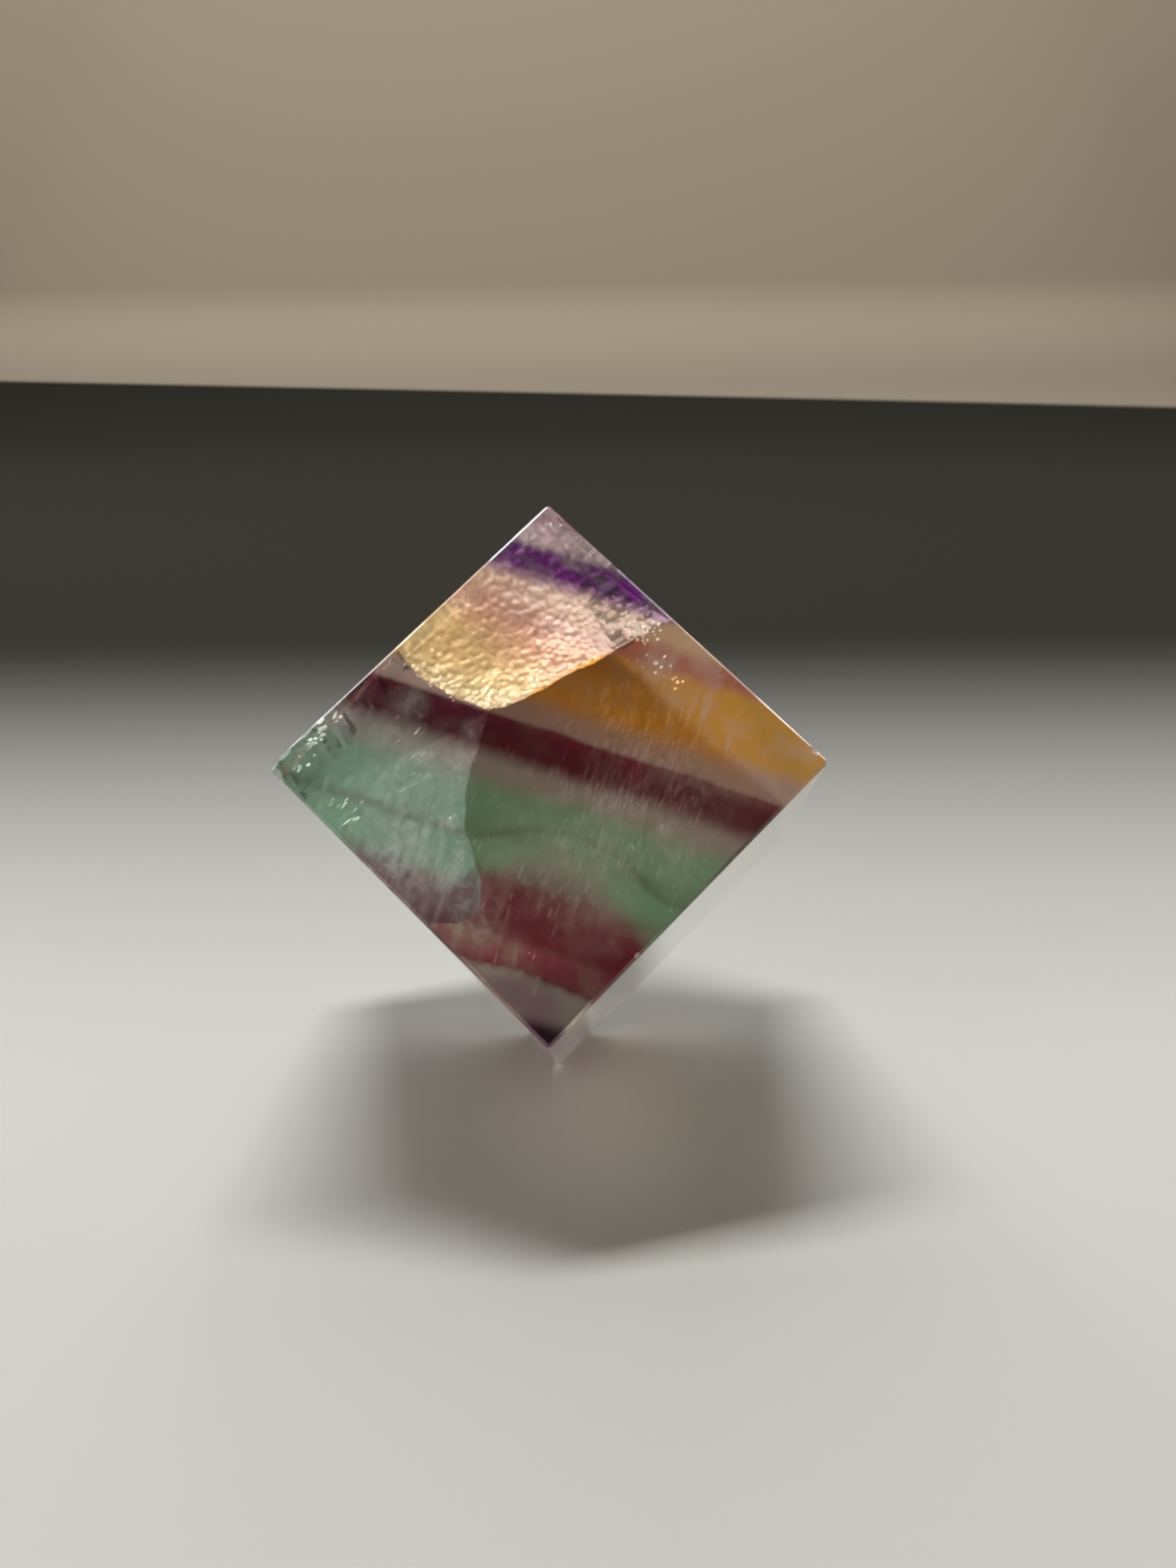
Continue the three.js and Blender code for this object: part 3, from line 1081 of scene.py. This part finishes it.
def join_meshes(meshes, name):
    """One object from several meshes, each with its own materials."""
    objects = [mesh_object(mesh.name, mesh) for mesh in meshes]
    with bpy.context.temp_override(active_object=objects[0], selected_editable_objects=objects):
        bpy.ops.object.join()
    objects[0].name = name
    objects[0].data.name = name
    return objects[0]


class FLUORITE_OT_crystal(Operator):
    """Make the banded stone with its chips and inner cracks"""

    bl_idname = "fluorite.crystal"
    bl_label = "Fluorite crystal"

    def execute(self, context):
        sizes = context.scene.fluorite_sizes
        finishes = make_materials(sizes, context.scene.fluorite_colours)
        tree = voids_tree()
        parts = [
            chipped_body(sizes, finishes),
            top_crack(sizes, finishes["top_crack"]),
            side_crack(sizes, finishes["side_crack"]),
            grown("growth_needles", needle_seeds(sizes), tree, Material=finishes["growth_needle"]),
            grown("flecks", fleck_seeds(sizes), tree, Material=finishes["fleck"]),
        ]
        stone = join_meshes(parts, PIECE)
        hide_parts(NODE)
        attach(stone, BODY)
        return {"FINISHED"}


class FLUORITE_OT_stage(Operator):
    """Make the pale floor, the soft lights and the camera"""

    bl_idname = "fluorite.stage"
    bl_label = "Stage"

    def execute(self, context):
        make_floor()
        make_lights()
        make_camera()
        context.scene.view_settings.view_transform = "Standard"
        return {"FINISHED"}


FLOOR_SIZE = 3.0
SWEEP_START = 0.5  # where the stage starts to curve up, behind the stone
SWEEP_RADIUS = 0.06
SWEEP_TOP = 0.22
SWEEP_STEPS = 16
SILL_SHADE = (135, 135, 131)  # the floor's paint
STRIP_SHADE = (30, 29, 25)  # the dark strip behind it
SILL_FADE = (-0.02, 0.17)  # how far behind the stone the one turns into the other
WALL_START = 0.0115  # how high the dark strip reaches on the backdrop
WALL_SOFTNESS = 0.002
WALL_LEAN = 0.028  # how much that height falls from left to right
# The wall's colour at its foot is painted shade, darker than its own colour above, against the lamps' light
# that falls brightest there.
WALL_FOOT_PAINTED_SHADE = (108, 100, 89)
WALL_HIGH = (148, 138, 122)
WALL_HIGH_AT = 0.055  # how high the wall has its upper colour
PAINT_ROUGHNESS = 0.8


def stage_paint():
    """Pale paint near the stone that fades to a dark strip behind it, below a wall of taupe with painted
    shade at its foot.
    """
    made = bpy.data.materials.new("stage_paint")
    made.use_nodes = True
    tree = made.node_tree
    place = node(tree, "ShaderNodeTexCoord").outputs["Object"]
    axes = node(tree, "ShaderNodeSeparateXYZ", {"Vector": place}).outputs
    away = window(tree, axes["Y"], *SILL_FADE)
    paint = mix(tree, away, opaque(*SILL_SHADE), opaque(*STRIP_SHADE))
    # Painted shade: the wall darker low down, where the lamps light it most.
    higher = window(tree, axes["Z"], WALL_START, WALL_HIGH_AT)
    wall = mix(tree, higher, opaque(*WALL_FOOT_PAINTED_SHADE), opaque(*WALL_HIGH))
    lean = maths(tree, "MULTIPLY", axes["X"], WALL_LEAN)
    leaning = maths(tree, "ADD", lean, axes["Z"])
    up = window(tree, leaning, WALL_START, WALL_START + WALL_SOFTNESS)
    shader = tree.nodes["Principled BSDF"].inputs
    shader["Roughness"].default_value = PAINT_ROUGHNESS
    shader["Specular IOR Level"].default_value = 0.0
    tree.links.new(mix(tree, up, paint, wall), shader["Base Color"])
    return made


def make_floor():
    """A pale floor that darkens behind the stone and curves up into a low plain backdrop."""
    half = FLOOR_SIZE / 2
    profile = [(-half, 0.0), (0.0, 0.0)]
    for step in range(SWEEP_STEPS + 1):
        angle = math.pi / 2 * step / SWEEP_STEPS
        profile.append((SWEEP_START + SWEEP_RADIUS * math.sin(angle), SWEEP_RADIUS * (1 - math.cos(angle))))
    profile.append((SWEEP_START + SWEEP_RADIUS, SWEEP_TOP))
    places = [(x, y, z) for y, z in profile for x in (-half, half)]
    faces = [(2 * k, 2 * k + 1, 2 * k + 3, 2 * k + 2) for k in range(len(profile) - 1)]
    mesh = bpy.data.meshes.new("floor")
    mesh.from_pydata(places, [], faces)
    mesh.polygons.foreach_set("use_smooth", [True] * len(faces))
    mesh.materials.append(stage_paint())
    mesh_object("floor", mesh)


DAYLIGHT = (1, 1, 1)
WARM = (1, 0.87, 0.74)
# The stage's lamps: where each one is, its width and height, its power in watts and its tint.
LAMPS = (
    ("window_light", (-0.1, 0.67, 0.62), (0.75, 0.6), 9.6, DAYLIGHT),
    ("left_rim_light", (-0.52, 0.55, 0.54), (0.25, 0.25), 0.35, DAYLIGHT),
    ("right_rim_light", (0.52, 0.55, 0.54), (0.25, 0.25), 0.35, DAYLIGHT),
    ("high_light", (-0.08, 0.28, 0.85), (0.45, 0.14), 14.5, DAYLIGHT),
    ("left_low_light", (-0.4, 0.34, 0.2), (0.25, 0.2), 0.5, DAYLIGHT),
    ("right_low_light", (0.4, 0.34, 0.2), (0.25, 0.2), 0.5, DAYLIGHT),
    ("left_fill_light", (-0.56, -0.22, 0.28), (0.5, 0.4), 2.1, WARM),
    ("right_fill_light", (0.55, -0.25, 0.3), (0.4, 0.4), 1.1, WARM),
)
LAMPS_AIM = Vector((0, 0, 0.03))  # the middle of the stone
SKY_SHADE = (196, 196, 192)
SKY_STRENGTH = 0.15


def soft_light(name, place, size, power, tint):
    """A soft box that looks at the stone."""
    light = bpy.data.lights.new(name, "AREA")
    light.shape = "RECTANGLE"
    light.size, light.size_y = size
    light.energy = power
    light.color = tint
    made = bpy.data.objects.new(name, light)
    made.location = place
    made.rotation_euler = (LAMPS_AIM - Vector(place)).to_track_quat("-Z", "Y").to_euler()
    bpy.context.scene.collection.objects.link(made)


def make_lights():
    """Bright lamps high behind the stone, weak ones beside it, warm ones in front, and an even sky."""
    for lamp in LAMPS:
        soft_light(*lamp)
    world = bpy.data.worlds.new("sky")
    world.use_nodes = True
    sky = world.node_tree.nodes["Background"].inputs
    sky["Color"].default_value = opaque(*SKY_SHADE)
    sky["Strength"].default_value = SKY_STRENGTH
    bpy.context.scene.world = world


CAMERA_AT = Vector((4.3, -133.3, 83.7)) * MM
CAMERA_PITCH = math.radians(21.63)
CAMERA_TURN = math.radians(0.35)
CAMERA_ROLL = math.radians(-0.67)
CAMERA_LENS = 32.2  # mm on a sensor whose long side is 36 mm
CAMERA_SENSOR = 36


def make_camera():
    """The camera: it looks down at the front face from a little below that face's own direction."""
    data = bpy.data.cameras.new("camera")
    data.lens = CAMERA_LENS
    data.sensor_width = CAMERA_SENSOR
    data.sensor_fit = "AUTO"
    data.clip_start = 0.005
    made = bpy.data.objects.new("camera", data)
    level = Matrix.Rotation(CAMERA_TURN, 4, "Z") @ Matrix.Rotation(math.pi / 2 - CAMERA_PITCH, 4, "X")
    made.matrix_world = Matrix.Translation(CAMERA_AT) @ level @ Matrix.Rotation(CAMERA_ROLL, 4, "Z")
    bpy.context.scene.collection.objects.link(made)
    bpy.context.scene.camera = made


class FLUORITE_PT_panel(Panel):
    """Lists the stone's sizes, colours and operators"""

    bl_idname = "FLUORITE_PT_panel"
    bl_label = "Fluorite Cube"
    bl_space_type = "VIEW_3D"
    bl_region_type = "UI"
    bl_category = "Fluorite"

    def draw(self, context):
        layout = self.layout
        for group in (context.scene.fluorite_sizes, context.scene.fluorite_colours):
            for name in group.__annotations__:
                layout.prop(group, name)
        layout.operator(FLUORITE_OT_crystal.bl_idname)
        layout.operator(FLUORITE_OT_stage.bl_idname)


CLASSES = (FluoriteSizes, FluoriteColours, FLUORITE_OT_crystal, FLUORITE_OT_stage, FLUORITE_PT_panel)


def register():
    for made in CLASSES:
        bpy.utils.register_class(made)
    bpy.types.Scene.fluorite_sizes = PointerProperty(type=FluoriteSizes)
    bpy.types.Scene.fluorite_colours = PointerProperty(type=FluoriteColours)


def unregister():
    del bpy.types.Scene.fluorite_colours
    del bpy.types.Scene.fluorite_sizes
    for made in reversed(CLASSES):
        bpy.utils.unregister_class(made)


def main():
    """Registers the classes and makes the stone and the stage."""
    register()
    bpy.ops.fluorite.crystal()
    bpy.ops.fluorite.stage()


if __name__ == "__main__":
    main()
